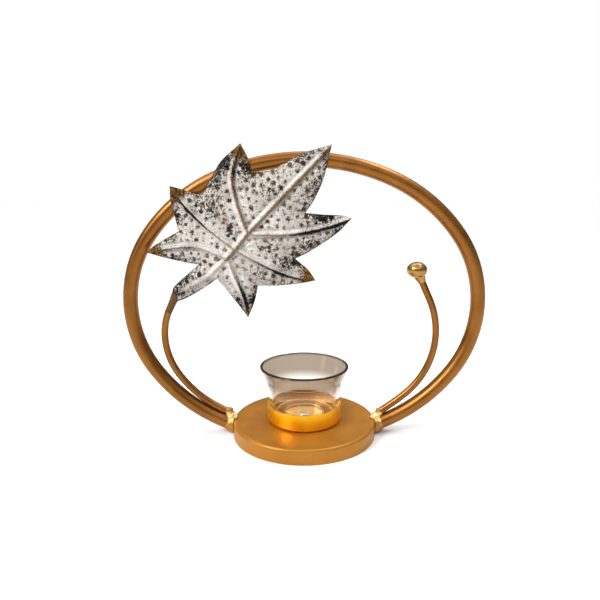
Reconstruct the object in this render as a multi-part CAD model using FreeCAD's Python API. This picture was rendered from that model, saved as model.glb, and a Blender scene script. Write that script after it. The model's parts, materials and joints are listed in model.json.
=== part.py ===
import FreeCAD, Part
import math
import os

# Candle ring: a bent tube hoop on a pressed round base, with a leaf on one stem, a ball
# on the other, and a glass for a tealight in a tray on the base.
# Millimetres. +Z is up and the hoop stands in the XZ plane. The front is -Y.
# The origin is on the resting face, under the middle of the base.

Vector = FreeCAD.Vector
UP = Vector(0, 0, 1)
FORWARD = Vector(0, -1, 0)
RIGHTWARD = Vector(1, 0, 0)
ORIGIN = Vector(0, 0, 0)

# Base, a round pan pressed from sheet and open underneath
base_diameter = 103.0
base_height = 10.6
base_sheet = 1.2
base_edge_radius = 1.8

# Tray, a shallow drawn pan that holds the glass
tray_diameter = 53.2
tray_height = 12.4
tray_sheet = 1.0
tray_corner_radius = 2.2

# Screw, washer and nut that hold the tray on the base
screw_diameter = 4.0
screw_head_diameter = 8.4
screw_head_height = 1.8
screw_head_edge_radius = 0.9
screw_slot_width = 1.1
screw_slot_depth = 0.8
screw_hole_clearance = 0.15
screw_end_past_nut = 1.0
washer_diameter = 9.4
washer_thickness = 0.8
nut_across_flats = 7.0
nut_height = 3.2
nut_thread_clearance = 0.05

# Glass for a tealight, with a flared lip, a thick floor and a hollow foot. Its foot stands
# in the tray with some play, and it widens from the foot to the waist and on to the rim.
glass_height = 39.5
glass_waist_height = 28.2
glass_foot_play = 4.6
glass_waist_widening = 8.0
glass_rim_widening = 10.0
glass_wall = 2.1
glass_floor = 6.0
glass_foot_corner_radius = 2.0
glass_inner_corner_radius = 4.0
glass_waist_bend_radius = 5.0
glass_rim_edge_radius = 0.9
glass_foot_ring_width = 8.3
glass_hollow_depth = 2.8
glass_hollow_corner_radius = 1.6

# Hoop, one tube bent to an oval in eight arcs that run tangent into each other
hoop_half_width = 122.0
hoop_half_height = 98.9
hoop_side_arc_angle = 36.0
hoop_shoulder_arc_angle = 66.0
hoop_tube_diameter = 10.2
hoop_tube_wall = 1.0
hoop_foot_lift = 0.45

# Two welds that join the hoop's ends and the stems to the base
weld_bead_radius = 4.4
weld_bead_height_over_base = 0.6
weld_bead_past_base = 1.5
weld_fillet_lip = 0.4
weld_fillet_flare = 1.8
weld_fillet_length = 6.0
weld_floor_gap = 0.3

# Stems, two bent rods that stand inside the hoop
stem_diameter = 4.9
stem_hoop_gap = 0.05
stem_foot_past_base = 3.2
leaf_stem_side_gap = 15.9
leaf_stem_top_bend_radius = 46.5
leaf_stem_tail = 11.0
leaf_stem_heading_angle = 58.0
ball_stem_side_gap = 20.9
ball_stem_top_bend_radius = 60.0
ball_stem_tail = 20.0
ball_stem_foot_turn_angle = 10.0
ball_stem_heading_angle = 115.0

# Ball, pressed on the end of its stem, a little flatter than round
ball_width = 14.2
ball_height = 11.6
ball_neck_length = 7.0
ball_neck_lip = 0.3
ball_neck_flare = 2.4
ball_socket_depth = 6.5

# Leaf, pressed from sheet with a raised crown and a fold along each vein
leaf_sheet = 1.0
leaf_crown = 7.0
leaf_hoop_gap = 0.2

# Dark ferrule that grips the leaf's stalk end on its stem
ferrule_length_below_end = 9.0
ferrule_length_above_end = 9.0
ferrule_collar = 0.5
ferrule_mouth_collar = 2.4

# Tack welds between the hoop and the back of the leaf
tack_weld_diameter = 5.0

# Clearance that lets a cut run past the solid that it cuts
overrun = 5.0

# The leaf's width as a share of the hoop's half width, and its height of the half height
leaf_width_share = 1.137
leaf_height_share = 1.174
# The hoop's bend at its sides, as a share of the bend that a true ellipse has there
hoop_side_bend_share = 1.0345
# How far below the hoop's middle each stem is widest, as a share of the hoop's half height
leaf_stem_widest_share = 0.2275
ball_stem_widest_share = 0.2174
# How much longer a stem's first bend is than its second, measured along their tangents
leaf_stem_first_bend_share = 1.5
ball_stem_first_bend_share = 0.42

# Leaf outline. Every point is (across, up) as shares of the leaf's width and height,
# from the lower left corner of its box. Lobes and valleys go round clockwise.
leaf_anchor_shares = (0.110, 0.085)
junction_shares = [(0.495, 0.500), (0.435, 0.415), (0.395, 0.360)]
valley_shares = [
    (0.515, 0.840),
    (0.775, 0.615),
    (0.725, 0.350),
    (0.540, 0.190),
    (0.340, 0.230),
    (0.250, 0.315),
    (0.160, 0.510),
    (0.280, 0.715),
]
# Each lobe has its junction's number, its vein to the tip, and its two edges from the
# valley before it and the valley after it, without the valleys and the tip.
lobe_shares = [
    (0, [(0.445, 0.670), (0.425, 0.830), (0.470, 1.000)],
     [(0.335, 0.830), (0.380, 0.910)], [(0.512, 0.880), (0.500, 0.930)]),
    (0, [(0.615, 0.650), (0.750, 0.815), (0.900, 0.995)],
     [(0.620, 0.860), (0.760, 0.945)], [(0.820, 0.695), (0.865, 0.820)]),
    (0, [(0.685, 0.500), (0.850, 0.530), (1.000, 0.585)],
     [(0.860, 0.605), (0.955, 0.600)], [(0.800, 0.395), (0.920, 0.490)]),
    (1, [(0.540, 0.345), (0.690, 0.260), (0.825, 0.225)],
     [(0.755, 0.320), (0.790, 0.285)], [(0.640, 0.190), (0.755, 0.205)]),
    (2, [(0.430, 0.245), (0.465, 0.130), (0.490, 0.000)],
     [(0.535, 0.155), (0.520, 0.085)], [(0.390, 0.155), (0.445, 0.070)]),
    (2, [(0.300, 0.250), (0.210, 0.190), (0.132, 0.137)],
     [(0.245, 0.155), (0.150, 0.100)], [(0.200, 0.265), (0.120, 0.175)]),
    (2, [(0.255, 0.425), (0.110, 0.415), (0.000, 0.390)],
     [(0.180, 0.330), (0.075, 0.360)], [(0.100, 0.470), (0.055, 0.440)]),
    (1, [(0.295, 0.550), (0.190, 0.675), (0.135, 0.765)],
     [(0.145, 0.590), (0.130, 0.690)], [(0.230, 0.730), (0.180, 0.750)]),
]
# How much of the crown's height is left at the vein's points out to the tip
vein_crown_shares = (0.80, 0.45, 0.0)

base_radius = base_diameter / 2
tray_radius = tray_diameter / 2
tray_floor_top = base_height + tray_sheet
glass_foot_radius = tray_radius - tray_sheet - glass_foot_play / 2
glass_waist_radius = glass_foot_radius + glass_waist_widening / 2
glass_rim_radius = glass_waist_radius + glass_rim_widening / 2
stem_radius = stem_diameter / 2
hoop_radius = hoop_tube_diameter / 2
hoop_side_bend_radius = hoop_side_bend_share * hoop_half_height ** 2 / hoop_half_width
leaf_width = leaf_width_share * hoop_half_width
leaf_height = leaf_height_share * hoop_half_height
leaf_back_depth = hoop_radius + leaf_hoop_gap


def flat_point(x, z):
    """A point of the hoop's plane."""
    return Vector(x, 0, z)


def direction(degrees):
    """A unit direction in the hoop's plane, turned up from +X."""
    return Vector(math.cos(math.radians(degrees)), 0, math.sin(math.radians(degrees)))


def edges_where(solid, test):
    """The edges whose middle, as (distance from the Z axis, height), passes a test."""
    chosen = []
    for edge in solid.Edges:
        middle = edge.valueAt((edge.FirstParameter + edge.LastParameter) / 2)
        if test(math.hypot(middle.x, middle.y), middle.z):
            chosen.append(edge)
    return chosen


def rounded_at(solid, radius, height, fillet):
    """The solid with its circular edge at a radius and a height rounded."""
    near = fillet / 10
    found = edges_where(solid, lambda r, z: abs(r - radius) < near and abs(z - height) < near)
    return solid.makeFillet(fillet, found)


def turned(points):
    """A solid of revolution about the Z axis from a closed outline of (radius, height)."""
    outline = [flat_point(r, z) for r, z in points]
    outline.append(outline[0])
    return Part.Face(Part.makePolygon(outline)).revolve(ORIGIN, UP, 360)


def rod_profile(point, heading, radius):
    """A round face square to a heading."""
    return Part.Face(Part.Wire(Part.Circle(point, heading, radius).toShape()))


def arc_piece(centre, bend_radius, start, end, profile_radii):
    """A bent tube or rod round a centre, from one angle to another, in the hoop's plane."""
    low = min(start, end)
    heading = direction(low + 90)
    middle = centre + direction(low) * bend_radius
    face = rod_profile(middle, heading, profile_radii[0])
    for bore in profile_radii[1:]:
        face = face.cut(rod_profile(middle, heading, bore))
    return face.revolve(centre, FORWARD, abs(end - start))


# Hoop


def hoop_arcs():
    """The oval's three kinds of arc, each (centre, bend radius), with the hoop's middle at zero."""
    side = direction(hoop_side_arc_angle)
    shoulder = direction(hoop_shoulder_arc_angle)
    side_offset = hoop_half_width - hoop_side_bend_radius
    # The shoulder and crown radii come from running tangent into the side and closing at the top.
    across_x = shoulder.x - side.x
    across_z = shoulder.z - side.z
    right_x = -side_offset - hoop_side_bend_radius * side.x
    right_z = hoop_half_height - hoop_side_bend_radius * side.z
    share = across_x * (1 - shoulder.z) + shoulder.x * across_z
    shoulder_radius = (right_x * (1 - shoulder.z) + shoulder.x * right_z) / share
    crown_radius = (across_x * right_z - right_x * across_z) / share
    side_centre = flat_point(side_offset, 0)
    shoulder_centre = side_centre + side * (hoop_side_bend_radius - shoulder_radius)
    crown_centre = flat_point(0, hoop_half_height - crown_radius)
    return {
        "side": (side_centre, hoop_side_bend_radius),
        "shoulder": (shoulder_centre, shoulder_radius),
        "crown": (crown_centre, crown_radius),
    }


HOOP_ARCS = hoop_arcs()
# The crown's arc is repeated upside down as the hoop's foot, whose bend has this radius.
foot_bend_radius = HOOP_ARCS["crown"][1]


def hoop_centre_height():
    """The hoop's middle, so that its tube clears the resting face where it meets the base."""
    outer = foot_bend_radius + hoop_radius
    foot_centre = hoop_foot_lift + math.sqrt(outer ** 2 - base_radius ** 2)
    return foot_centre + HOOP_ARCS["crown"][0].z


hoop_height = hoop_centre_height()
foot_centre = flat_point(0, hoop_height - HOOP_ARCS["crown"][0].z)


def mirrored(centre, left, below):
    """An arc's centre, put in one quarter of the hoop."""
    x = -centre.x if left else centre.x
    z = -centre.z if below else centre.z
    return flat_point(x, hoop_height + z)


def hoop_ring(profile_radii):
    """The whole oval, before the base cuts it open."""
    a = hoop_side_arc_angle
    b = hoop_shoulder_arc_angle
    side, side_bend = HOOP_ARCS["side"]
    shoulder, shoulder_bend = HOOP_ARCS["shoulder"]
    crown, crown_bend = HOOP_ARCS["crown"]
    pieces = [
        arc_piece(mirrored(side, False, False), side_bend, -a, a, profile_radii),
        arc_piece(mirrored(shoulder, False, False), shoulder_bend, a, b, profile_radii),
        arc_piece(mirrored(crown, False, False), crown_bend, b, 180 - b, profile_radii),
        arc_piece(mirrored(shoulder, True, False), shoulder_bend, 180 - b, 180 - a, profile_radii),
        arc_piece(mirrored(side, True, False), side_bend, 180 - a, 180 + a, profile_radii),
        arc_piece(mirrored(shoulder, True, True), shoulder_bend, 180 + a, 180 + b, profile_radii),
        arc_piece(mirrored(crown, False, True), crown_bend, 180 + b, 360 - b, profile_radii),
        arc_piece(mirrored(shoulder, False, True), shoulder_bend, 360 - b, 360 - a, profile_radii),
    ]
    return pieces[0].fuse(pieces[1:]).removeSplitter()


def base_envelope():
    """The base's outside as one plain block, which the hoop and welds are cut back to."""
    block = Part.makeCylinder(base_radius, base_height, ORIGIN, UP)
    return rounded_at(block, base_radius, base_height, base_edge_radius)


def base_column():
    """The space above and below the base that the hoop's tube stops at."""
    lowest = hoop_height - hoop_half_height - hoop_radius - overrun
    highest = base_height + hoop_tube_diameter + overrun
    return Part.makeCylinder(base_radius, highest - lowest, Vector(0, 0, lowest), UP)


def hoop_tube():
    ring = hoop_ring([hoop_radius, hoop_radius - hoop_tube_wall])
    return ring.cut(base_column())


def hoop_solid():
    """The hoop without its bore, for cutting what lies against it."""
    return hoop_ring([hoop_radius]).cut(base_column())


# Base and tray


def base_shell():
    inner_radius = base_radius - base_sheet
    inner_height = base_height - base_sheet
    hollow = Part.makeCylinder(inner_radius, inner_height, ORIGIN, UP)
    hollow = rounded_at(hollow, inner_radius, inner_height, base_edge_radius - base_sheet)
    return base_envelope().cut(hollow).cut(screw_passage())


def candle_tray():
    block = Part.makeCylinder(tray_radius, tray_height, Vector(0, 0, base_height), UP)
    block = rounded_at(block, tray_radius, base_height, tray_corner_radius)
    inner_radius = tray_radius - tray_sheet
    hollow = Part.makeCylinder(inner_radius, tray_height, Vector(0, 0, tray_floor_top), UP)
    hollow = rounded_at(hollow, inner_radius, tray_floor_top, tray_corner_radius - tray_sheet)
    return block.cut(hollow).cut(screw_passage())


# Screw, washer and nut, all on the Z axis

washer_top = base_height - base_sheet
nut_top = washer_top - washer_thickness
nut_bottom = nut_top - nut_height
screw_bottom = nut_bottom - screw_end_past_nut


def screw_passage():
    """The hole through the tray's floor, the base's top and the washer."""
    radius = screw_diameter / 2 + screw_hole_clearance
    length = tray_floor_top - nut_top + overrun * 2
    return Part.makeCylinder(radius, length, Vector(0, 0, nut_top - overrun), UP)


def tray_screw():
    head = Part.makeCylinder(screw_head_diameter / 2, screw_head_height, Vector(0, 0, tray_floor_top), UP)
    head_top = tray_floor_top + screw_head_height
    head = rounded_at(head, screw_head_diameter / 2, head_top, screw_head_edge_radius)
    slot_corner = Vector(-screw_head_diameter, -screw_slot_width / 2, head_top - screw_slot_depth)
    slot = Part.makeBox(screw_head_diameter * 2, screw_slot_width, screw_slot_depth + overrun, slot_corner)
    shank_length = tray_floor_top - screw_bottom
    shank = Part.makeCylinder(screw_diameter / 2, shank_length, Vector(0, 0, screw_bottom), UP)
    return head.cut(slot).fuse(shank).removeSplitter()


def tray_washer():
    disc = Part.makeCylinder(washer_diameter / 2, washer_thickness, Vector(0, 0, nut_top), UP)
    return disc.cut(screw_passage())


def tray_nut():
    corner_radius = nut_across_flats / 2 / math.cos(math.radians(30))
    corners = []
    for step in range(7):
        turn = math.radians(60 * step)
        corners.append(Vector(corner_radius * math.cos(turn), corner_radius * math.sin(turn), nut_bottom))
    block = Part.Face(Part.makePolygon(corners)).extrude(UP * nut_height)
    bore_radius = screw_diameter / 2 + nut_thread_clearance
    bore = Part.makeCylinder(bore_radius, nut_height + overrun * 2, Vector(0, 0, nut_bottom - overrun), UP)
    return block.cut(bore)


# Glass


def glass_cup():
    bottom = tray_floor_top
    waist = bottom + glass_waist_height
    rim = bottom + glass_height
    floor_top = bottom + glass_floor
    inner_waist_radius = glass_waist_radius - glass_wall
    taper = (glass_waist_radius - glass_foot_radius) / glass_waist_height
    inner_floor_radius = glass_foot_radius + taper * glass_floor - glass_wall
    body = turned([
        (0, bottom),
        (glass_foot_radius, bottom),
        (glass_waist_radius, waist),
        (glass_rim_radius, rim),
        (0, rim),
    ])
    body = rounded_at(body, glass_waist_radius, waist, glass_waist_bend_radius)
    body = rounded_at(body, glass_foot_radius, bottom, glass_foot_corner_radius)
    flare = (glass_rim_radius - glass_waist_radius) / (glass_height - glass_waist_height)
    past_rim = glass_rim_radius - glass_wall + flare * overrun
    cavity = turned([
        (0, floor_top),
        (inner_floor_radius, floor_top),
        (inner_waist_radius, waist),
        (past_rim, rim + overrun),
        (0, rim + overrun),
    ])
    cavity = rounded_at(cavity, inner_waist_radius, waist, glass_waist_bend_radius + glass_wall)
    cavity = rounded_at(cavity, inner_floor_radius, floor_top, glass_inner_corner_radius)
    hollow_radius = glass_foot_radius - glass_foot_ring_width
    hollow_start = bottom - overrun
    hollow = Part.makeCylinder(hollow_radius, glass_hollow_depth + overrun, Vector(0, 0, hollow_start), UP)
    hollow = rounded_at(hollow, hollow_radius, bottom + glass_hollow_depth, glass_hollow_corner_radius)
    cup = body.cut(cavity).cut(hollow)
    cup = rounded_at(cup, glass_rim_radius, rim, glass_rim_edge_radius)
    return rounded_at(cup, glass_rim_radius - glass_wall, rim, glass_rim_edge_radius)


# Stems

stem_line_radius = foot_bend_radius - hoop_radius - stem_hoop_gap - stem_radius


def stem_start(side):
    """Where a stem starts inside the hoop's foot, and the hoop's heading there. side is 1 or -1."""
    turn = side * math.degrees(math.asin((base_radius + stem_foot_past_base) / stem_line_radius))
    heading = turn if side > 0 else turn + 180
    return foot_centre + direction(270 + turn) * stem_line_radius, heading


def widest_point(side, gap, widest_share):
    """Where a stem's middle line is widest, for a gap to the inside of the hoop."""
    reach = hoop_half_width - hoop_radius - gap - stem_radius
    return flat_point(side * reach, hoop_height - widest_share * hoop_half_height)


def upright_bends(side, start, heading, widest, first_share):
    """Two bends that run tangent from a start and heading to the widest point, where a stem is upright.

    Each is (centre, bend radius, start angle, end angle).
    """
    setting_out = direction(heading)
    away = widest - start
    turning = 2 * first_share * (1 - setting_out.dot(UP))
    going = away.dot(setting_out * first_share + UP)
    second = (math.sqrt(going ** 2 + turning * away.dot(away)) - going) / turning
    first = first_share * second
    across = widest - UP * second - start - setting_out * first
    middle_heading = math.degrees(math.atan2(across.z, across.x))
    first_bend = first / math.tan(math.radians(side * (middle_heading - heading) / 2))
    second_bend = second / math.tan(math.radians(side * (90 - middle_heading) / 2))
    sideways = side * 90
    first_centre = start + direction(heading + sideways) * first_bend
    second_centre = widest - RIGHTWARD * side * second_bend
    return [
        (first_centre, first_bend, heading - sideways, middle_heading - sideways),
        (second_centre, second_bend, middle_heading - sideways, 90 - sideways),
    ]


def top_bend(side, widest, bend_radius, end_heading):
    """The bend above a stem's widest point, in the same form, and where it ends."""
    centre = widest - RIGHTWARD * side * bend_radius
    end_angle = end_heading - side * 90
    return (centre, bend_radius, 90 - side * 90, end_angle), centre + direction(end_angle) * bend_radius


def stem_rod(bends, end, heading, tail):
    """A round rod through its bends, with a straight tail on its end."""
    pieces = [arc_piece(*bend, [stem_radius]) for bend in bends]
    along = direction(heading)
    pieces.append(rod_profile(end, along, stem_radius).extrude(along * tail))
    return pieces[0].fuse(pieces[1:]).removeSplitter()


def leaf_stem_plan():
    """The leaf stem's bends, left of the base, and where its straight tail starts."""
    start, heading = stem_start(-1)
    widest = widest_point(-1, leaf_stem_side_gap, leaf_stem_widest_share)
    bends = upright_bends(-1, start, heading, widest, leaf_stem_first_bend_share)
    bend, end = top_bend(-1, widest, leaf_stem_top_bend_radius, leaf_stem_heading_angle)
    return bends + [bend], end


def lean_forward(shape):
    """The leaf stem leans until it passes just behind the leaf."""
    pivot = stem_start(-1)[0]
    end = leaf_stem_plan()[1]
    degrees = math.degrees(math.atan((leaf_back_depth - stem_radius) / (end.z - pivot.z)))
    leaning = shape.copy()
    leaning.rotate(pivot, RIGHTWARD, degrees)
    return leaning


def leaf_stem():
    bends, end = leaf_stem_plan()
    return lean_forward(stem_rod(bends, end, leaf_stem_heading_angle, leaf_stem_tail))


def ball_stem_plan():
    """The ball stem's bends, right of the base, and where its straight tail starts."""
    start, hoop_heading = stem_start(1)
    heading = hoop_heading + ball_stem_foot_turn_angle
    widest = widest_point(1, ball_stem_side_gap, ball_stem_widest_share)
    bends = upright_bends(1, start, heading, widest, ball_stem_first_bend_share)
    bend, end = top_bend(1, widest, ball_stem_top_bend_radius, ball_stem_heading_angle)
    return bends + [bend], end


def ball_stem():
    bends, end = ball_stem_plan()
    return stem_rod(bends, end, ball_stem_heading_angle, ball_stem_tail)


def flattened_ball():
    """A ball about the origin, turned from two round caps and a tighter bend at its middle."""
    half_width = ball_width / 2
    half_height = ball_height / 2
    join_angle = 45
    cap_angle = (join_angle + 90) / 2
    join = direction(join_angle)
    difference = (half_width - half_height) / (join.x + join.z - 1)
    side_bend = half_width - difference * join.x
    cap_bend = side_bend + difference
    side_centre = flat_point(half_width - side_bend, 0)
    cap_centre = flat_point(0, half_height - cap_bend)
    pole = flat_point(0, half_height)
    join_point = side_centre + join * side_bend
    below = cap_centre * -1
    lower_join_point = flat_point(join_point.x, -join_point.z)
    outline = Part.Wire([
        Part.Arc(pole, cap_centre + direction(cap_angle) * cap_bend, join_point).toShape(),
        Part.Arc(join_point, flat_point(half_width, 0), lower_join_point).toShape(),
        Part.Arc(lower_join_point, below + direction(-cap_angle) * cap_bend, pole * -1).toShape(),
        Part.LineSegment(pole * -1, pole).toShape(),
    ])
    return Part.Face(outline).revolve(ORIGIN, UP, 360)


def ball_finial():
    heading = direction(ball_stem_heading_angle)
    rod_end = ball_stem_plan()[1] + heading * ball_stem_tail
    centre = rod_end + heading * (ball_height / 2 - ball_socket_depth / 2)
    ball = flattened_ball()
    ball.translate(centre)
    neck_start = centre - heading * (ball_height / 2 + ball_neck_length / 2)
    neck = Part.makeCone(stem_radius + ball_neck_lip, stem_radius + ball_neck_flare,
                         ball_neck_length, neck_start, heading)
    return ball.fuse(neck).cut(ball_stem())


# Leaf


def leaf_corner():
    """The lower left corner of the leaf's box, so that the stalk's end lies on its stem's end."""
    end = leaf_stem_plan()[1]
    across, up = leaf_anchor_shares
    return end.x - across * leaf_width, end.z - up * leaf_height


LEAF_LEFT, LEAF_BOTTOM = leaf_corner()


def leaf_point(shares, raised, thickness=0):
    """A point on the leaf's back, or in front of it by a thickness."""
    across, up = shares
    depth = leaf_back_depth + raised + thickness
    return Vector(LEAF_LEFT + across * leaf_width, -depth, LEAF_BOTTOM + up * leaf_height)


def leaf_strip(vein, edge):
    """Triangles between a vein and an edge that meet at the tip."""
    triangles = []
    for step in range(len(vein) - 2):
        triangles.append((vein[step], vein[step + 1], edge[step + 1]))
        triangles.append((vein[step], edge[step + 1], edge[step]))
    triangles.append((vein[-2], vein[-1], edge[-2]))
    return triangles


def leaf_triangles():
    """The leaf's back as triangles of (shares, raised) points."""
    junctions = [(shares, leaf_crown) for shares in junction_shares]
    valleys = [(shares, 0) for shares in valley_shares]
    triangles = []
    for number, (junction, vein, before, after) in enumerate(lobe_shares):
        raised = [leaf_crown * share for share in vein_crown_shares]
        vein_points = [junctions[junction]] + list(zip(vein, raised))
        tip = [vein_points[-1]]
        before_points = [valleys[number - 1]] + [(shares, 0) for shares in before] + tip
        after_points = [valleys[number]] + [(shares, 0) for shares in after] + tip
        triangles += [(c, b, a) for a, b, c in leaf_strip(vein_points, before_points)]
        triangles += leaf_strip(vein_points, after_points)
        following = lobe_shares[(number + 1) % len(lobe_shares)][0]
        if following != junction:
            triangles.append((junctions[junction], junctions[following], valleys[number]))
    return triangles


def leaf_solid(thickness):
    """The leaf as a closed solid: back, front and the walls round its outline."""
    triangles = leaf_triangles()
    faces = []
    count = {}
    for triangle in triangles:
        for depth in (0, thickness):
            corners = [leaf_point(shares, raised, depth) for shares, raised in triangle]
            faces.append(Part.Face(Part.makePolygon(corners + corners[:1])))
        for start, end in zip(triangle, triangle[1:] + triangle[:1]):
            key = tuple(sorted((start, end)))
            count[key] = count.get(key, 0) + 1
    for (start, end), used in count.items():
        if used == 1:
            corners = [leaf_point(*start), leaf_point(*end),
                       leaf_point(*end, thickness), leaf_point(*start, thickness)]
            faces.append(Part.Face(Part.makePolygon(corners + corners[:1])))
    shell = Part.makeShell(faces)
    shell.sewShape()
    solid = Part.Solid(shell)
    if solid.Volume < 0:
        solid.reverse()
    return solid


def leaf_blade():
    return leaf_solid(leaf_sheet)


def leaf_front_block():
    """The leaf with all the space in front of it, for cutting what touches its back."""
    return leaf_solid(leaf_width)


def leaf_ferrule():
    along = direction(leaf_stem_heading_angle)
    start = leaf_stem_plan()[1] - along * ferrule_length_below_end
    length = ferrule_length_below_end + ferrule_length_above_end
    mouth_radius = stem_radius + ferrule_mouth_collar
    cone = Part.makeCone(stem_radius + ferrule_collar, mouth_radius, length, start, along)
    return lean_forward(cone).cut(leaf_stem()).cut(leaf_front_block())


def outside_hoop_line(point):
    """How far a point of the hoop's plane lies outside the hoop's middle line, about its middle."""
    x = abs(point.x)
    z = abs(point.z - hoop_height)
    side_centre, side_bend = HOOP_ARCS["side"]
    shoulder_centre, shoulder_bend = HOOP_ARCS["shoulder"]
    crown_centre, crown_bend = HOOP_ARCS["crown"]
    if math.degrees(math.atan2(z - shoulder_centre.z, x - shoulder_centre.x)) > hoop_shoulder_arc_angle:
        return math.hypot(x - crown_centre.x, z - crown_centre.z) - crown_bend
    if math.degrees(math.atan2(z - side_centre.z, x - side_centre.x)) > hoop_side_arc_angle:
        return math.hypot(x - shoulder_centre.x, z - shoulder_centre.z) - shoulder_bend
    return math.hypot(x - side_centre.x, z - side_centre.z) - side_bend


def hoop_crossings(junction, vein):
    """Where a vein passes over the hoop's middle line, in the hoop's plane."""
    crossings = []
    places = [leaf_point(shares, 0) for shares in [junction_shares[junction]] + vein]
    for near, far in zip(places, places[1:]):
        inside = outside_hoop_line(near)
        outside = outside_hoop_line(far)
        if inside < 0 <= outside:
            crossing = near + (far - near) * (inside / (inside - outside))
            crossings.append(flat_point(crossing.x, crossing.z))
    return crossings


def leaf_tack_welds():
    """A group of small welds where the hoop passes behind the leaf's upper lobes."""
    hoop = hoop_solid()
    front = leaf_front_block()
    beads = []
    length = leaf_back_depth + leaf_crown + leaf_sheet
    for junction, vein, before, after in lobe_shares:
        for place in hoop_crossings(junction, vein):
            bead = Part.makeCylinder(tack_weld_diameter / 2, length, place, FORWARD)
            beads += bead.cut(hoop).cut(front).Solids
    return Part.makeCompound(beads)


# Welds at the base


def base_weld(side, stem):
    """A bead over the base's edge with a fillet round the tube's end. side is 1 or -1."""
    bead_height = base_height + weld_bead_height_over_base
    bead_centre = flat_point(side * (base_radius + weld_bead_past_base), bead_height)
    bead = Part.makeSphere(weld_bead_radius, bead_centre)
    turn = math.degrees(math.asin(base_radius / foot_bend_radius))
    end = foot_centre + direction(270 + side * turn) * foot_bend_radius
    inward = direction(270 + side * turn - side * 90)
    outer_end = end - inward * weld_fillet_length
    fillet = Part.makeCone(hoop_radius + weld_fillet_lip, hoop_radius + weld_fillet_flare * 2,
                           weld_fillet_length * 2, outer_end, inward)
    weld = bead.cut(base_envelope()).fuse(fillet.cut(base_column()))
    floor_size = base_diameter * 2
    floor_corner = Vector(-floor_size / 2, -floor_size / 2, weld_floor_gap - floor_size)
    weld = weld.cut(Part.makeBox(floor_size, floor_size, floor_size, floor_corner))
    weld = weld.cut(hoop_solid()).cut(stem)
    return max(weld.Solids, key=lambda solid: solid.Volume)


def left_weld():
    return base_weld(-1, leaf_stem())


def right_weld():
    return base_weld(1, ball_stem())


NODES = [
    base_shell,
    candle_tray,
    tray_screw,
    tray_washer,
    tray_nut,
    glass_cup,
    hoop_tube,
    left_weld,
    right_weld,
    leaf_stem,
    ball_stem,
    ball_finial,
    leaf_blade,
    leaf_ferrule,
    leaf_tack_welds,
]


def main():
    os.makedirs("parts", exist_ok=True)
    for make in NODES:
        shape = make()
        shape.exportStep("parts/" + make.__name__ + ".step")
        box = shape.BoundBox
        print(make.__name__, "solids", len(shape.Solids), "valid", shape.isValid(),
              "volume", round(shape.Volume, 1),
              "box", [round(v, 1) for v in (box.XMin, box.YMin, box.ZMin, box.XMax, box.YMax, box.ZMax)])


main()
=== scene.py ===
import json
import math

import bmesh
import bpy
import numpy as np
from mathutils import Matrix, Vector, geometry


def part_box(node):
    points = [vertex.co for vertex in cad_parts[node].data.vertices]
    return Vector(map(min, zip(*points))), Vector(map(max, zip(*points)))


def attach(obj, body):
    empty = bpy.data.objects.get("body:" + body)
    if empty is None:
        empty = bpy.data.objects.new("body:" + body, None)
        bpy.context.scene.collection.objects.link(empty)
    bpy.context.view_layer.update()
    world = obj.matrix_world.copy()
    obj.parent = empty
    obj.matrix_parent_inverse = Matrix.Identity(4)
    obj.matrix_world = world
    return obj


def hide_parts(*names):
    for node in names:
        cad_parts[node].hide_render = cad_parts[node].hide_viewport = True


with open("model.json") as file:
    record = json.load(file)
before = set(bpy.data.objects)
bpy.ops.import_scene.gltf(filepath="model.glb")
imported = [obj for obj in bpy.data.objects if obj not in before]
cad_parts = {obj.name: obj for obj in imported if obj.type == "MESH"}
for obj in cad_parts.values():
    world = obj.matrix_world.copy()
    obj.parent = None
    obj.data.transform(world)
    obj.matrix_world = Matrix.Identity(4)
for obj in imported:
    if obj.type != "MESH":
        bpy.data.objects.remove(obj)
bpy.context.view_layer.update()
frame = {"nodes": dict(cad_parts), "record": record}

nodes = frame["nodes"]

# Candle ring: an oval hoop on a round base, with a pressed maple leaf, a ball on a stem
# and a tealight glass. Metres, in the part's own frame. The front is -Y.

MM = 0.001


# Meshes and objects

# Faces that meet at more than this angle keep a crease.
CREASE_ANGLE = math.radians(50)


def link_object(name, data):
    """A new object in the scene, at the origin."""
    piece = bpy.data.objects.new(name, data)
    bpy.context.scene.collection.objects.link(piece)
    return piece


def faced_outward(mesh):
    """Turns the faces of a closed mesh so that all of them face outward."""
    form = bmesh.new()
    form.from_mesh(mesh)
    bmesh.ops.recalc_face_normals(form, faces=form.faces)
    form.to_mesh(mesh)
    form.free()


def softly_shaded(mesh):
    """Smooth shading with creases at the sharp edges."""
    mesh.shade_smooth()
    mesh.set_sharp_from_angle(angle=CREASE_ANGLE)


# Node trees

# Nearly all of a noise lies between these two values.
NOISE_LOW = 0.3
NOISE_HIGH = 0.7


def new_group(kind, name, inputs, outputs):
    """A node group with its inputs (label, socket, value) and its outputs (label, socket)."""
    tree = bpy.data.node_groups.new(name, kind)
    for label, socket_kind, value in inputs:
        socket = tree.interface.new_socket(label, in_out="INPUT", socket_type=socket_kind)
        if value is not None:
            socket.default_value = value
    for label, socket_kind in outputs:
        tree.interface.new_socket(label, in_out="OUTPUT", socket_type=socket_kind)
    given = tree.nodes.new("NodeGroupInput").outputs
    out = tree.nodes.new("NodeGroupOutput").inputs
    return tree, given, out


def add(tree, kind, settings=None, **inputs):
    """A node with its settings, and its inputs set to values or linked to sockets.

    An input is named by its label with _ for each space, or by i and its number.
    """
    node = tree.nodes.new(kind)
    for key, value in (settings or {}).items():
        setattr(node, key, value)
    for key, value in inputs.items():
        socket = node.inputs[int(key[1:]) if key[1:].isdigit() else key.replace("_", " ")]
        if isinstance(value, bpy.types.NodeSocket):
            tree.links.new(value, socket)
        else:
            socket.default_value = value
    return node


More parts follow.
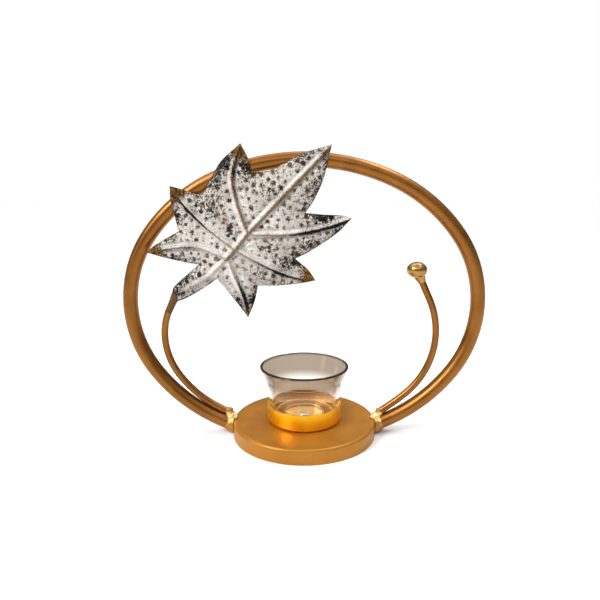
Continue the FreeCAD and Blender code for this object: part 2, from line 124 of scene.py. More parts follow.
def maths(tree, operation, a, b=0.0):
    """One step of arithmetic with two values."""
    return add(tree, "ShaderNodeMath", {"operation": operation}, i0=a, i1=b).outputs[0]


def mixed(tree, factor, a, b):
    """Two colours mixed by a factor."""
    return add(tree, "ShaderNodeMix", {"data_type": "RGBA"}, i0=factor, i6=a, i7=b).outputs[2]


def ranged(tree, value, low, high, to_low=0.0, to_high=1.0):
    """A value moved smoothly from one range to another."""
    return add(tree, "ShaderNodeMapRange", {"interpolation_type": "SMOOTHSTEP"}, Value=value,
               From_Min=low, From_Max=high, To_Min=to_low, To_Max=to_high).outputs[0]


def spread(tree, cloud, low, high):
    """A noise moved to the range from low to high."""
    return ranged(tree, cloud, NOISE_LOW, NOISE_HIGH, low, high)


def noise(tree, place, scale, detail=2.0, roughness=0.5):
    return add(tree, "ShaderNodeTexNoise", Vector=place, Scale=scale, Detail=detail,
               Roughness=roughness).outputs[0]


def upward(tree, place):
    """The Z of a place."""
    return add(tree, "ShaderNodeSeparateXYZ", Vector=place).outputs["Z"]


def combined(tree, x, y, z):
    return add(tree, "ShaderNodeCombineXYZ", X=x, Y=y, Z=z).outputs[0]


# Shared effects

CLOUD_SHARE = 0.6
FLAKE_SHARE = 0.4


def sprayed_flake_group():
    """Metallic paint: fine flakes, slow clouds of tone, and a slightly uneven skin."""
    tree, given, out = new_group("ShaderNodeTree", "sprayed flake", [
        ("Place", "NodeSocketVector", None),
        ("Flake Scale", "NodeSocketFloat", 2600.0),
        ("Cloud Scale", "NodeSocketFloat", 45.0),
        ("Dark", "NodeSocketColor", (0.4, 0.15, 0.02, 1)),
        ("Light", "NodeSocketColor", (0.6, 0.3, 0.05, 1)),
        ("Smooth", "NodeSocketFloat", 0.3),
        ("Rough", "NodeSocketFloat", 0.42),
    ], [("Color", "NodeSocketColor"), ("Roughness", "NodeSocketFloat"), ("Height", "NodeSocketFloat")])
    flake = noise(tree, given["Place"], given["Flake Scale"], detail=1.0)
    cloud = noise(tree, given["Place"], given["Cloud Scale"], detail=3.0, roughness=0.6)
    cloud_tone = spread(tree, cloud, 0.0, CLOUD_SHARE)
    flake_tone = ranged(tree, flake, 0.35, 0.65, 0.0, FLAKE_SHARE)
    tone = maths(tree, "ADD", cloud_tone, flake_tone)
    tree.links.new(mixed(tree, tone, given["Dark"], given["Light"]), out["Color"])
    tree.links.new(spread(tree, cloud, given["Smooth"], given["Rough"]), out["Roughness"])
    cloud_height = maths(tree, "MULTIPLY", cloud, CLOUD_SHARE)
    flake_height = maths(tree, "MULTIPLY", flake, FLAKE_SHARE)
    tree.links.new(maths(tree, "ADD", cloud_height, flake_height), out["Height"])
    return tree


SPRAYED_FLAKE = sprayed_flake_group()


# Materials

# How far the bumps of each skin reach
PAINT_BUMP = 0.4 * MM
GRAIN_BUMP = 0.3 * MM

COAT_ROUGHNESS = 0.25

# The weld's bead: the heights where its pale gold comes in and goes out
BEAD_START = (10.5 * MM, 12.5 * MM)
BEAD_END = (16.5 * MM, 18.5 * MM)
BEAD_WANDER = 3 * MM

# The radii between which the inside of the tray's wall turns to the outside
TRAY_WALL = (25.6 * MM, 26.2 * MM)
TRAY_METALLIC = 0.88
# Inside the wall the gold is paler and less metallic: painted light that lifts the shade the glass casts
# in the tray.
TRAY_INSIDE_METALLIC = 0.35
TRAY_INSIDE_PAINTED_LIGHT = (0.72, 0.44, 0.16, 1)

# The heights between which the glass turns from clear to smoky, and where its lip starts, which is
# painted dark as shade
GLASS_TINT = (0.028, 0.040)
GLASS_LIP = (0.0494, 0.0503)
GLASS_CLEAR = (1.0, 0.97, 0.91, 1)
GLASS_SMOKE = (0.35, 0.28, 0.215, 1)
GLASS_LIP_PAINTED_SHADE = (0.08, 0.06, 0.04, 1)
# What the glass leaves of the lamps' light that falls through it
GLASS_SHADOW = (0.86, 0.82, 0.76, 1)


def finish(name):
    """A new material with its tree, its shader and its Object coordinates."""
    material = bpy.data.materials.new(name)
    material.use_nodes = True
    tree = material.node_tree
    shader = tree.nodes["Principled BSDF"]
    place = tree.nodes.new("ShaderNodeTexCoord").outputs["Object"]
    return material, tree, shader, place


def bumped(tree, shader, height, strength, distance):
    bump = add(tree, "ShaderNodeBump", Height=height, Strength=strength, Distance=distance)
    tree.links.new(bump.outputs[0], shader.inputs["Normal"])


def weld_gilding():
    """Pale glossy gold on the bead, and gold paint on the weld's foot and over the stem's end."""
    material, tree, shader, place = finish("gilt_weld_bead")
    rise = upward(tree, place)
    cloud = noise(tree, place, 420.0, 3.0)
    height = maths(tree, "ADD", rise, maths(tree, "MULTIPLY", cloud, BEAD_WANDER))
    gilded = maths(tree, "MULTIPLY", ranged(tree, height, *BEAD_START),
                   ranged(tree, height, *BEAD_END, 1.0, 0.0))
    foot = mixed(tree, cloud, (0.34, 0.15, 0.025, 1), (0.50, 0.24, 0.05, 1))
    bead = mixed(tree, cloud, (0.80, 0.55, 0.21, 1), (0.92, 0.70, 0.33, 1))
    tree.links.new(mixed(tree, gilded, foot, bead), shader.inputs["Base Color"])
    tree.links.new(spread(tree, cloud, 0.34, 0.46), shader.inputs["Roughness"])
    shader.inputs["Metallic"].default_value = 0.6
    bumped(tree, shader, cloud, 0.04, GRAIN_BUMP)
    return material


def sprayed_metal(name, dark, light, smooth, rough, metallic, coat=0.0, flake=2600.0, skin=0.05):
    """Paint with flakes between two tones, and roughness between smooth and rough."""
    material, tree, shader, place = finish(name)
    paint = tree.nodes.new("ShaderNodeGroup")
    paint.node_tree = SPRAYED_FLAKE
    tree.links.new(place, paint.inputs["Place"])
    for label, value in (("Flake Scale", flake), ("Dark", (*dark, 1)), ("Light", (*light, 1)),
                         ("Smooth", smooth), ("Rough", rough)):
        paint.inputs[label].default_value = value
    tree.links.new(paint.outputs["Color"], shader.inputs["Base Color"])
    tree.links.new(paint.outputs["Roughness"], shader.inputs["Roughness"])
    shader.inputs["Metallic"].default_value = metallic
    shader.inputs["Coat Weight"].default_value = coat
    shader.inputs["Coat Roughness"].default_value = COAT_ROUGHNESS
    bumped(tree, shader, paint.outputs["Height"], skin, PAINT_BUMP)
    return material


def tray_lacquer():
    """Bright gold lacquer outside; inside the wall, where the glass stands, paler and duller, as painted
    light against the shade there.
    """
    material = sprayed_metal("bright_gold_lacquer", (0.99, 0.46, 0.006), (1.0, 0.56, 0.014),
                             smooth=0.26, rough=0.36, metallic=TRAY_METALLIC, coat=0.1)
    tree = material.node_tree
    shader = tree.nodes["Principled BSDF"]
    paint = shader.inputs["Base Color"].links[0].from_socket
    place = add(tree, "ShaderNodeTexCoord").outputs["Object"]
    flat = add(tree, "ShaderNodeVectorMath", {"operation": "MULTIPLY"},
               i0=place, i1=(1.0, 1.0, 0.0)).outputs[0]
    reach = add(tree, "ShaderNodeVectorMath", {"operation": "LENGTH"}, i0=flat).outputs["Value"]
    inside = ranged(tree, reach, *TRAY_WALL, 1.0, 0.0)
    tree.links.new(mixed(tree, inside, paint, TRAY_INSIDE_PAINTED_LIGHT), shader.inputs["Base Color"])
    metallic = ranged(tree, inside, 0.0, 1.0, TRAY_METALLIC, TRAY_INSIDE_METALLIC)
    tree.links.new(metallic, shader.inputs["Metallic"])
    return material


def smoke_glass():
    """Glass with a clear foot, a smoky wall and a lip painted dark as shade, which lets the lamps' light
    through.
    """
    material, tree, shader, place = finish("smoke_glass_clear")
    rise = upward(tree, place)
    smoke = mixed(tree, ranged(tree, rise, *GLASS_TINT), GLASS_CLEAR, GLASS_SMOKE)
    smoke = mixed(tree, ranged(tree, rise, *GLASS_LIP), smoke, GLASS_LIP_PAINTED_SHADE)
    tree.links.new(smoke, shader.inputs["Base Color"])
    shader.inputs["Transmission Weight"].default_value = 1.0
    shader.inputs["IOR"].default_value = 1.5
    shader.inputs["Specular Tint"].default_value = (1.0, 0.8, 0.55, 1)
    shader.inputs["Metallic"].default_value = 0.0
    cloud = noise(tree, place, 60.0)
    tree.links.new(spread(tree, cloud, 0.0, 0.03), shader.inputs["Roughness"])
    lit_through = add(tree, "ShaderNodeBsdfTransparent", Color=GLASS_SHADOW).outputs[0]
    shadow = tree.nodes.new("ShaderNodeLightPath").outputs["Is Shadow Ray"]
    both = add(tree, "ShaderNodeMixShader", i0=shadow, i1=shader.outputs[0], i2=lit_through).outputs[0]
    tree.links.new(both, tree.nodes["Material Output"].inputs["Surface"])
    return material


GOLD_PAINT = sprayed_metal("gold_paint_spray", (0.20, 0.073, 0.008), (0.32, 0.126, 0.019),
                           smooth=0.31, rough=0.43, metallic=0.85, coat=0.12)
BASE_GOLD = sprayed_metal("gold_paint_base", (0.36, 0.137, 0.009), (0.485, 0.207, 0.018),
                          smooth=0.40, rough=0.52, metallic=0.6, coat=0.08)
BALL_GOLD = sprayed_metal("gold_paint_ball", (0.33, 0.17, 0.04), (0.45, 0.255, 0.075),
                          smooth=0.22, rough=0.32, metallic=0.85, coat=0.2)
BRIGHT_GOLD = tray_lacquer()
GILT_WELD = weld_gilding()
PLATED_STEEL = sprayed_metal("plated_steel_parts", (0.62, 0.61, 0.58), (0.78, 0.77, 0.73),
                             smooth=0.22, rough=0.4, metallic=0.75)
AGED_BRONZE = sprayed_metal("aged_bronze_patina", (0.016, 0.008, 0.003), (0.18, 0.088, 0.022),
                            smooth=0.35, rough=0.6, metallic=0.6, flake=1500.0, skin=0.25)
SMOKE_GLASS = smoke_glass()

# The plain leaf is replaced further down, so here it only takes the dark patina.
FINISHES = {
    "gold_paint": GOLD_PAINT, "bright_gold": BRIGHT_GOLD, "gilt_weld": GILT_WELD,
    "plated_steel": PLATED_STEEL, "smoke_glass": SMOKE_GLASS, "aged_bronze": AGED_BRONZE,
    "whitewashed_leaf": AGED_BRONZE,
}
for part in frame["record"]["subparts"]:
    for slot in nodes[part["node"]].material_slots:
        slot.material = FINISHES[part["material_slot"]]
# Two pieces have a gold of their own: the base is duller and the ball is glossier.
for name, material in (("base_shell", BASE_GOLD), ("ball_finial", BALL_GOLD)):
    for slot in nodes[name].material_slots:
        slot.material = material


# Leaf: sizes in millimetres

LEAF_LOW, LEAF_HIGH = (np.array(corner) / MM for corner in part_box("leaf_blade"))
LEAF_SHEET = 0.9
LEAF_CROWN = LEAF_HIGH[1] - LEAF_LOW[1] - LEAF_SHEET

# The side of the face's triangles, their height as a share of it, and how near to a line,
# as a share of it, a free point may lie
LEAF_STEP = 0.62
TRIANGLE_HEIGHT = 0.866
FREE_POINT_ROOM = 0.45

# Rows of punch marks beside each vein, the first row's distance from it, and the room that
# they leave at the outline and at every vein
PUNCH_ROWS = 6
PUNCH_FIRST_ROW = 4.3
PUNCH_ROW_GAP = 5.1
PUNCH_EDGE_ROOM = 2.0
PUNCH_VEIN_ROOM = 3.6
PUNCH_OVERLAP = 0.8

# The share of its width that a vein loses on its way to the tip
VEIN_TAPER = 0.45
VEIN_HEIGHT = 2.4
VEIN_ROUNDNESS = 0.7
GROOVE_DEPTH = 1.2
GROOVE_WIDTH = 1.0
GROOVE_FROM_VEIN = 1.1
PANEL_PUFF = 0.9
# The crown along a vein, from the middle of the leaf to the tip, and how round it is across
CROWN_PLACES = [0, 0.35, 0.7, 0.92, 1]
CROWN_SHARES = [1, 0.86, 0.5, 0.16, 0.0]
CROWN_ROUNDNESS = 2.2
CROWN_USED = 0.88
CURL_START = 0.7
CURL_LENGTH = 0.3
# How much further the rim curls, and how far in from the outline that reaches
RIM_CURL = 0.6
RIM_CURL_REACH = 0.9

# Where the tips' gold starts and how soon it is full, as shares of the way along a vein
TIP_GOLD_START = 0.62
TIP_GOLD_LENGTH = 0.28
# A small step that leads from a vein's lower side towards the vein
TOWARDS_VEIN = (-0.35, 0.5)
# The dark line beside a vein: where it starts and how soon it is full, as shares of the way
# along the vein, and how wide it is
SHADOW_START = 0.05
SHADOW_LENGTH = 0.45
SHADOW_WIDTH = 1.1
# The brown rub and the painted shade on a vein's lower side: their place and width, as shares of the
# vein's width
RUB_AND_SHADE_PLACE = 0.27
RUB_AND_SHADE_WIDTH = 0.32
RIM_WEAR_REACH = 0.7

# Places on the leaf are (across, up) as shares of its width and height.
JUNCTIONS = [(0.495, 0.500), (0.435, 0.415), (0.395, 0.360)]
VALLEYS = [(0.515, 0.840), (0.775, 0.615), (0.725, 0.350), (0.540, 0.190),
           (0.340, 0.230), (0.250, 0.315), (0.160, 0.510), (0.280, 0.715)]
# Each lobe: its junction, its vein out to the tip, its edge before the tip, its edge after it,
# and how wide its vein's ridge is. The sixth is the stalk.
LOBES = [
    (0, [(0.445, 0.670), (0.425, 0.830), (0.470, 1.000)],
     [(0.335, 0.830), (0.380, 0.910)], [(0.512, 0.880), (0.500, 0.930)], 3.6),
    (0, [(0.615, 0.650), (0.750, 0.815), (0.900, 0.995)],
     [(0.620, 0.860), (0.760, 0.945)], [(0.820, 0.695), (0.865, 0.820)], 4.6),
    (0, [(0.685, 0.500), (0.850, 0.530), (1.000, 0.585)],
     [(0.860, 0.605), (0.955, 0.600)], [(0.800, 0.395), (0.920, 0.490)], 3.4),
    (1, [(0.540, 0.345), (0.690, 0.260), (0.825, 0.225)],
     [(0.755, 0.320), (0.790, 0.285)], [(0.640, 0.190), (0.755, 0.205)], 3.3),
    (2, [(0.430, 0.245), (0.465, 0.130), (0.490, 0.000)],
     [(0.535, 0.155), (0.520, 0.085)], [(0.390, 0.155), (0.445, 0.070)], 3.0),
    (2, [(0.300, 0.250), (0.210, 0.190), (0.132, 0.137)],
     [(0.245, 0.155), (0.150, 0.100)], [(0.200, 0.265), (0.120, 0.175)], 3.6),
    (2, [(0.255, 0.425), (0.110, 0.415), (0.000, 0.390)],
     [(0.180, 0.330), (0.075, 0.360)], [(0.100, 0.470), (0.055, 0.440)], 3.2),
    (1, [(0.295, 0.550), (0.190, 0.675), (0.135, 0.765)],
     [(0.145, 0.590), (0.130, 0.690)], [(0.230, 0.730), (0.180, 0.750)], 3.4),
]
# Where the whitewash is thin and black shows: (across, up), radius, strength
DARK_PATCHES = [
    ((0.390, 0.900), 10, 0.85), ((0.500, 0.900), 9, 0.85), ((0.350, 0.800), 9, 0.6),
    ((0.155, 0.720), 7, 0.8), ((0.240, 0.640), 7, 0.7), ((0.330, 0.640), 8, 0.5),
    ((0.865, 0.590), 10, 0.95), ((0.930, 0.530), 7, 0.8), ((0.790, 0.520), 6, 0.7),
    ((0.800, 0.440), 8, 0.5), ((0.660, 0.290), 8, 0.8), ((0.730, 0.330), 7, 0.6),
    ((0.455, 0.080), 8, 1.0), ((0.520, 0.090), 7, 1.0), ((0.145, 0.150), 9, 1.0),
    ((0.210, 0.170), 8, 0.7), ((0.300, 0.215), 4, 0.7), ((0.830, 0.740), 9, 0.5),
    ((0.770, 0.930), 9, 0.5), ((0.640, 0.720), 7, 0.6), ((0.420, 0.500), 6, 0.6),
    ((0.075, 0.395), 8, 0.5), ((0.215, 0.420), 6, 0.5), ((0.560, 0.140), 7, 0.3),
    ((0.195, 0.220), 7, 0.7), ((0.260, 0.245), 6, 0.6), ((0.420, 0.730), 6, 0.4),
    ((0.600, 0.440), 7, 0.3), ((0.440, 0.850), 8, 0.6), ((0.130, 0.350), 7, 0.6),
    ((0.120, 0.455), 6, 0.6), ((0.150, 0.600), 8, 0.6), ((0.880, 0.880), 6, 0.5),
    ((0.560, 0.270), 7, 0.35), ((0.230, 0.340), 7, 0.3),
]


def leaf_place(shares):
    """Millimetres across and up, from shares of the leaf's box."""
    size = LEAF_HIGH - LEAF_LOW
    return np.array([LEAF_LOW[0] + shares[0] * size[0], LEAF_LOW[2] + shares[1] * size[2]])


def smooth_line(shares):
    """A smooth line through points, in pieces of about one step."""
    points = [leaf_place(pair) for pair in shares]
    points = [2 * points[0] - points[1]] + points + [2 * points[-1] - points[-2]]
    line = []
    for a, b, c, d in zip(points, points[1:], points[2:], points[3:]):
        count = max(1, round(float(np.linalg.norm(c - b)) / LEAF_STEP))
        for index in range(count):
            t = index / count
            line.append(0.5 * (2 * b + (c - a) * t + (2 * a - 5 * b + 4 * c - d) * t ** 2
                               + (3 * b - 3 * c + d - a) * t ** 3))
    line.append(points[-2])
    return np.array(line)


def leaf_outline():
    """The outline, lobe by lobe, from each valley to the tip and on to the next valley."""
    lines = []
    for number, (_, vein, before, after, _) in enumerate(LOBES):
        lines.append(smooth_line([VALLEYS[number - 1], *before, vein[-1]])[:-1])
        lines.append(smooth_line([vein[-1], *reversed(after), VALLEYS[number]])[:-1])
    return np.concatenate(lines)


def vein_lines():
    """Each lobe's vein from its junction to its tip, and last the line that joins the junctions."""
    lines = [smooth_line([JUNCTIONS[junction], *vein]) for junction, vein, _, _, _ in LOBES]
    lines.append(smooth_line(JUNCTIONS))
    return lines


def distance_to_line(points, line):
    """For each point, its distance to a line, and how far along the line that is, from 0 to 1."""
    start, way = line[:-1], np.diff(line, axis=0)
    length = np.linalg.norm(way, axis=1)
    run = np.concatenate([[0], np.cumsum(length)])
    best = np.full(len(points), np.inf)
    along = np.zeros(len(points))
    for a, w, size, before in zip(start, way, length, run):
        t = np.clip(((points - a) @ w) / size ** 2, 0, 1)
        gap = np.linalg.norm(points - a - t[:, None] * w, axis=1)
        nearer = gap < best
        best[nearer] = gap[nearer]
        along[nearer] = (before + t * size)[nearer] / run[-1]
    return best, along


def inside_line(points, line):
    """For each point, whether it lies inside a closed line."""
    x, z = points.T
    inside = np.zeros(len(points), bool)
    for (ax, az), (bx, bz) in zip(line, np.roll(line, -1, axis=0)):
        crosses = (az > z) != (bz > z)
        with np.errstate(divide="ignore", invalid="ignore"):
            inside ^= crosses & (x < (bx - ax) * (z - az) / (bz - az) + ax)
    return inside


def ramp(value, start, length):
    """From 0 at the start to 1 a length further on."""
    return np.clip((value - start) / length, 0, 1)


def bell(distance, width):
    """1 at no distance, falling away over about a width."""
    return np.exp(-(distance / width) ** 2)


OUTLINE = leaf_outline()
VEINS = vein_lines()
# Each list has a value for each vein. The last vein joins the junctions and has no tip.
VEIN_WIDTHS = [lobe[-1] for lobe in LOBES] + [4.8]
# How dark the antique finish and a painted shade lie along the lower side of each vein
VEIN_SHADOWS = [0.5, 0.35, 1.1, 1.05, 0.9, 0.0, 0.5, 1.1, 0.0]
# How much brown gold is rubbed on each vein, together with painted shade on its lower side
VEIN_RUBS_AND_SHADE = [0.85, 0.9, 0.6, 0.7, 0.4, 0.4, 0.55, 0.7, 0.85]
# How far each lobe's tip curls forward
TIP_CURLS = [1.3, 0.6, 0.8, 1.6, 0.9, 0.0, 1.7, 2.8, 0.0]
# How much gold shows at each lobe's tip
TIP_GOLD = [0.95, 0.75, 0.6, 1.0, 0.85, 0.3, 1.05, 1.0]


def leaf_fields(points):
    """The form of the leaf's face at points in millimetres.

    Gives the distance to the outline, the distance to the nearest vein, how far along that
    vein, and the height of the face.
    """
    closed = np.concatenate([OUTLINE, OUTLINE[:1]])
    edge = distance_to_line(points, closed)[0]
    near = np.full(len(points), np.inf)
    along, ridge, groove, curl = np.zeros((4, len(points)))
    for line, width, lift in zip(VEINS, VEIN_WIDTHS, TIP_CURLS):
        gap, share = distance_to_line(points, line)
        joined = line is VEINS[-1]
        taper = 1.0 if joined else 1 - VEIN_TAPER * share
        half = width / 2 * taper
        nearer = gap < near
        near[nearer] = gap[nearer]
        along[nearer] = 0 if joined else share[nearer]
        curl[nearer] = lift * ramp(share[nearer], CURL_START, CURL_LENGTH) ** 2
        ridge = np.maximum(ridge, np.clip(1 - (gap / half) ** 2, 0, 1) ** VEIN_ROUNDNESS * taper)
        groove = np.maximum(groove, bell(gap - half - GROOVE_FROM_VEIN, GROOVE_WIDTH))
    # From 0 at the outline to 1 at a vein
    share_in = edge / (edge + near + 1e-6)
    top = LEAF_CROWN * np.interp(along, CROWN_PLACES, CROWN_SHARES)
    roof = 1 - (1 - share_in) ** CROWN_ROUNDNESS
    # The panels swell a little, clear of the veins and of the rim.
    puff = ramp(near, 2.5, 5) * ramp(edge, 1, 4)
    height = top * roof * CROWN_USED + PANEL_PUFF * puff - GROOVE_DEPTH * groove * ramp(edge, 0, 3)
    height += VEIN_HEIGHT * ridge * np.clip(edge / 1.5, 0.25, 1)
    height += curl * (1 + RIM_CURL * np.exp(-edge / RIM_CURL_REACH))
    return edge, near, along, height


def leaf_face_mesh():
    """The leaf's front as triangles between its outline and its veins."""
    low, high = OUTLINE.min(0), OUTLINE.max(0)
    rows = np.arange(low[1], high[1], LEAF_STEP * TRIANGLE_HEIGHT)
    grid = [(x + (row % 2) * LEAF_STEP / 2, z)
            for row, z in enumerate(rows) for x in np.arange(low[0], high[0], LEAF_STEP)]
    grid = np.array(grid)
    grid = grid[inside_line(grid, OUTLINE)]
    edge, near, _, _ = leaf_fields(grid)
    room = FREE_POINT_ROOM * LEAF_STEP
    grid = grid[(edge > room) & (near > room)]
    places = [OUTLINE]
    pairs = []
    count = len(OUTLINE)
    for line in VEINS:
        inner = line[:-1] if line is not VEINS[-1] else line
        places.append(inner)
        pairs += [(count + i, count + i + 1) for i in range(len(inner) - 1)]
        count += len(inner)
    places.append(grid)
    flat = [Vector(place) for place in np.concatenate(places)]
    keep_inside, merge_within = 1, 0.01
    found = geometry.delaunay_2d_cdt(flat, pairs, [list(range(len(OUTLINE)))], keep_inside, merge_within)
    return np.array([tuple(place) for place in found[0]]), [tuple(face) for face in found[2]]


def punch_rows():
    """Guide lines for the punch marks, side by side along each vein, as one mesh of edges."""
    shifted, own = [], []
    for line in VEINS[:-1]:
        way = np.gradient(line, axis=0)
        way /= np.linalg.norm(way, axis=1)[:, None]
        square = np.stack([-way[:, 1], way[:, 0]], axis=1)
        for side in (-1, 1):
            for row in range(PUNCH_ROWS):
                moved = line + square * side * (PUNCH_FIRST_ROW + PUNCH_ROW_GAP * row)
                shifted.append(moved)
                own.append(distance_to_line(moved, line)[0])
    ends = np.cumsum([len(line) for line in shifted])
    places = np.concatenate(shifted)
    edge, near, _, _ = leaf_fields(places)
    free = (edge > PUNCH_EDGE_ROOM) & (near > PUNCH_VEIN_ROOM)
    keep = inside_line(places, OUTLINE) & free & (np.concatenate(own) < near + PUNCH_OVERLAP)
    stays = np.append(keep[:-1] & keep[1:], False)
    stays[ends - 1] = False
    pairs = [(int(i), int(i) + 1) for i in np.flatnonzero(stays)]
    mesh = bpy.data.meshes.new("punch_rows")
    mesh.from_pydata([(x * MM, 0, z * MM) for x, z in places], pairs, [])
    return mesh


def dressed(tree, shape, material, out):
    """The end of a geometry tree: plain geometry with its material."""
    whole = add(tree, "GeometryNodeRealizeInstances", Geometry=shape).outputs[0]
    last = add(tree, "GeometryNodeSetMaterial", Geometry=whole, Material=material).outputs[0]
    tree.links.new(last, out[0])


def punch_marks_tree():
    """Geometry nodes that press a punch mark into a face at even steps along guide rows."""
    tree, given, out = new_group("GeometryNodeTree", "punch marks", [
        ("Geometry", "NodeSocketGeometry", None),
        ("Rows", "NodeSocketObject", None),
        ("Pitch", "NodeSocketFloat", 5.2 * MM),
        ("Diameter", "NodeSocketFloat", 3.9 * MM),
        ("Depth", "NodeSocketFloat", 0.85 * MM),
        ("Wander", "NodeSocketFloat", 0.7 * MM),
        ("Seed", "NodeSocketInt", 7),
        ("Finish", "NodeSocketMaterial", None),
    ], [("Geometry", "NodeSocketGeometry")])
    # Points at even steps along the rows, each moved a little
    rows = add(tree, "GeometryNodeObjectInfo", Object=given["Rows"]).outputs["Geometry"]
    lines = add(tree, "GeometryNodeMeshToCurve", Mesh=rows).outputs[0]
    stepped = add(tree, "GeometryNodeResampleCurve", {"mode": "LENGTH"}, Curve=lines,
                  Length=given["Pitch"]).outputs[0]
    points = add(tree, "GeometryNodeCurveToPoints", {"mode": "EVALUATED"}, Curve=stepped).outputs[0]
    wander = given["Wander"]
    less = maths(tree, "MULTIPLY", wander, -1.0)
    shift = add(tree, "FunctionNodeRandomValue", {"data_type": "FLOAT_VECTOR"},
                Min=combined(tree, less, 0.0, less), Max=combined(tree, wander, 0.0, wander),
                Seed=given["Seed"]).outputs[0]
    strewn = add(tree, "GeometryNodeSetPosition", Geometry=points, Offset=shift).outputs[0]
    # The nearest point to each place on the face, and that point's own size
    here = tree.nodes.new("GeometryNodeInputPosition").outputs[0]
    parts = add(tree, "ShaderNodeSeparateXYZ", Vector=here).outputs
    flat = combined(tree, parts["X"], 0.0, parts["Z"])
    near = add(tree, "GeometryNodeProximity", {"target_element": "POINTS"}, i0=strewn,
               Sample_Position=flat)
    nearest = add(tree, "GeometryNodeSampleNearest", {"domain": "POINT"}, Geometry=strewn,
                  Sample_Position=flat).outputs[0]
    luck = add(tree, "FunctionNodeRandomValue", {"data_type": "FLOAT"}, i2=0.62, i3=1.15,
               Seed=given["Seed"]).outputs[1]
    own = add(tree, "GeometryNodeSampleIndex", {"data_type": "FLOAT", "domain": "POINT"},
              Geometry=strewn, Value=luck, Index=nearest).outputs[0]
    # A round pit at that point, also kept as a value for the paint
    radius = maths(tree, "MULTIPLY", maths(tree, "MULTIPLY", given["Diameter"], 0.5), own)
    pit = ranged(tree, near.outputs["Distance"], 0.0, radius, own, 0.0)
    pressed = maths(tree, "MULTIPLY", pit, given["Depth"])
    kept = add(tree, "GeometryNodeStoreNamedAttribute", {"data_type": "FLOAT", "domain": "POINT"},
               Geometry=given["Geometry"], Name="pit", Value=pit).outputs[0]
    moved = add(tree, "GeometryNodeSetPosition", Geometry=kept,
                Offset=combined(tree, 0.0, pressed, 0.0)).outputs[0]
    dressed(tree, moved, given["Finish"], out)
    return tree


def grown(piece, tree, **values):
    """The plain mesh that a geometry tree makes of a piece. The modifier is gone afterwards."""
    modifier = piece.modifiers.new("grow", "NODES")
    modifier.node_group = tree
    for item in tree.interface.items_tree:
        key = item.name.replace(" ", "_")
        if item.in_out == "INPUT" and key in values:
            modifier[item.identifier] = values[key]
    bpy.context.view_layer.update()
    graph = bpy.context.evaluated_depsgraph_get()
    mesh = bpy.data.meshes.new_from_object(piece.evaluated_get(graph), preserve_all_data_layers=True,
                                           depsgraph=graph)
    piece.modifiers.remove(modifier)
    return mesh


# Colours of the leaf's paint
WHITEWASH_DULL = (0.68, 0.64, 0.60, 1)
WHITEWASH_BRIGHT = (0.90, 0.87, 0.835, 1)
WORN_GREY = (0.36, 0.325, 0.29, 1)
SPECK_GREY = (0.30, 0.265, 0.235, 1)
PUNCH_BROWN = (0.13, 0.10, 0.045, 1)
VEIN_PAINTED_SHADE = (0.23, 0.165, 0.10, 1)
VEIN_BROWN = (0.17, 0.105, 0.042, 1)
UNDER_BLACK = (0.004, 0.003, 0.002, 1)
UNDER_GOLD = (0.085, 0.052, 0.012, 1)
TIP_BRIGHT = (0.36, 0.19, 0.04, 1)
TIP_BROWN = (0.05, 0.026, 0.008, 1)


def leaf_finish():
    """Whitewash rubbed over black and antique gold, with painted shade along the veins' lower sides. It
    follows values kept on the leaf's points.
    """
    material, tree, shader, place = finish("whitewashed_leaf_paint")

    def kept(name):
        return add(tree, "ShaderNodeAttribute", {"attribute_name": name}).outputs["Fac"]

    def times(a, b):
        return maths(tree, "MULTIPLY", a, b)

    def plus(a, b):
        return maths(tree, "ADD", a, b)

    pit, tip, wear_and_shade, gilt, tan = (kept(name) for name in ("pit", "tip", "wear_and_shade", "gilt", "tan"))
    speck = plus(times(noise(tree, place, 760.0, 6.0, 0.8), 2.0), -0.5)
    patch = noise(tree, place, 75.0)
    grain = noise(tree, place, 2400.0)
    # Black shows where the paint is worn, in the specks and in the punch marks, and as painted shade
    # along the lower side of some veins.
    mark = times(maths(tree, "POWER", pit, 0.7), ranged(tree, speck, 0.2, 0.6, 0.55, 1.2))
    deep = times(mark, ranged(tree, patch, 0.4, 0.58, 0.22, 0.46))
    black = ranged(tree, plus(plus(speck, wear_and_shade), deep), 0.69, 0.76)
    # The whitewash, greyer where it is worn or shade is painted under a vein, browner in the marks, and
    # on the veins' lower sides a painted shade and a brown rub
    white = mixed(tree, ranged(tree, patch, 0.35, 0.65), WHITEWASH_DULL, WHITEWASH_BRIGHT)
    white = mixed(tree, ranged(tree, wear_and_shade, -0.1, 0.12, 0.0, 0.5), white, WORN_GREY)
    white = mixed(tree, ranged(tree, speck, 0.36, 0.68, 0.0, 0.6), white, SPECK_GREY)
    white = mixed(tree, times(mark, 0.8), white, PUNCH_BROWN)
    # A soft painted shade on the lower side of each vein, then the brown rub in specks over it.
    white = mixed(tree, times(tan, 0.72), white, VEIN_PAINTED_SHADE)
    rubbed = ranged(tree, plus(tan, times(speck, 1.1)), 0.85, 1.35, 0.0, 0.85)
    white = mixed(tree, rubbed, white, VEIN_BROWN)
    under_paint = mixed(tree, times(gilt, ranged(tree, speck, 0.3, 0.6)), UNDER_BLACK, UNDER_GOLD)
    colour = mixed(tree, black, white, under_paint)
    # Gold and brown at the tips
    gold = ranged(tree, plus(tip, times(speck, 0.6)), 0.85, 1.15)
    tip_paint = mixed(tree, ranged(tree, speck, 0.34, 0.52), TIP_BRIGHT, TIP_BROWN)
    colour = mixed(tree, gold, colour, tip_paint)
    tree.links.new(colour, shader.inputs["Base Color"])
    tree.links.new(times(gold, 0.3), shader.inputs["Metallic"])
    tree.links.new(spread(tree, grain, 0.5, 0.7), shader.inputs["Roughness"])
    shader.inputs["Specular IOR Level"].default_value = 0.12
    bumped(tree, shader, plus(grain, speck), 0.4, GRAIN_BUMP)
    return material


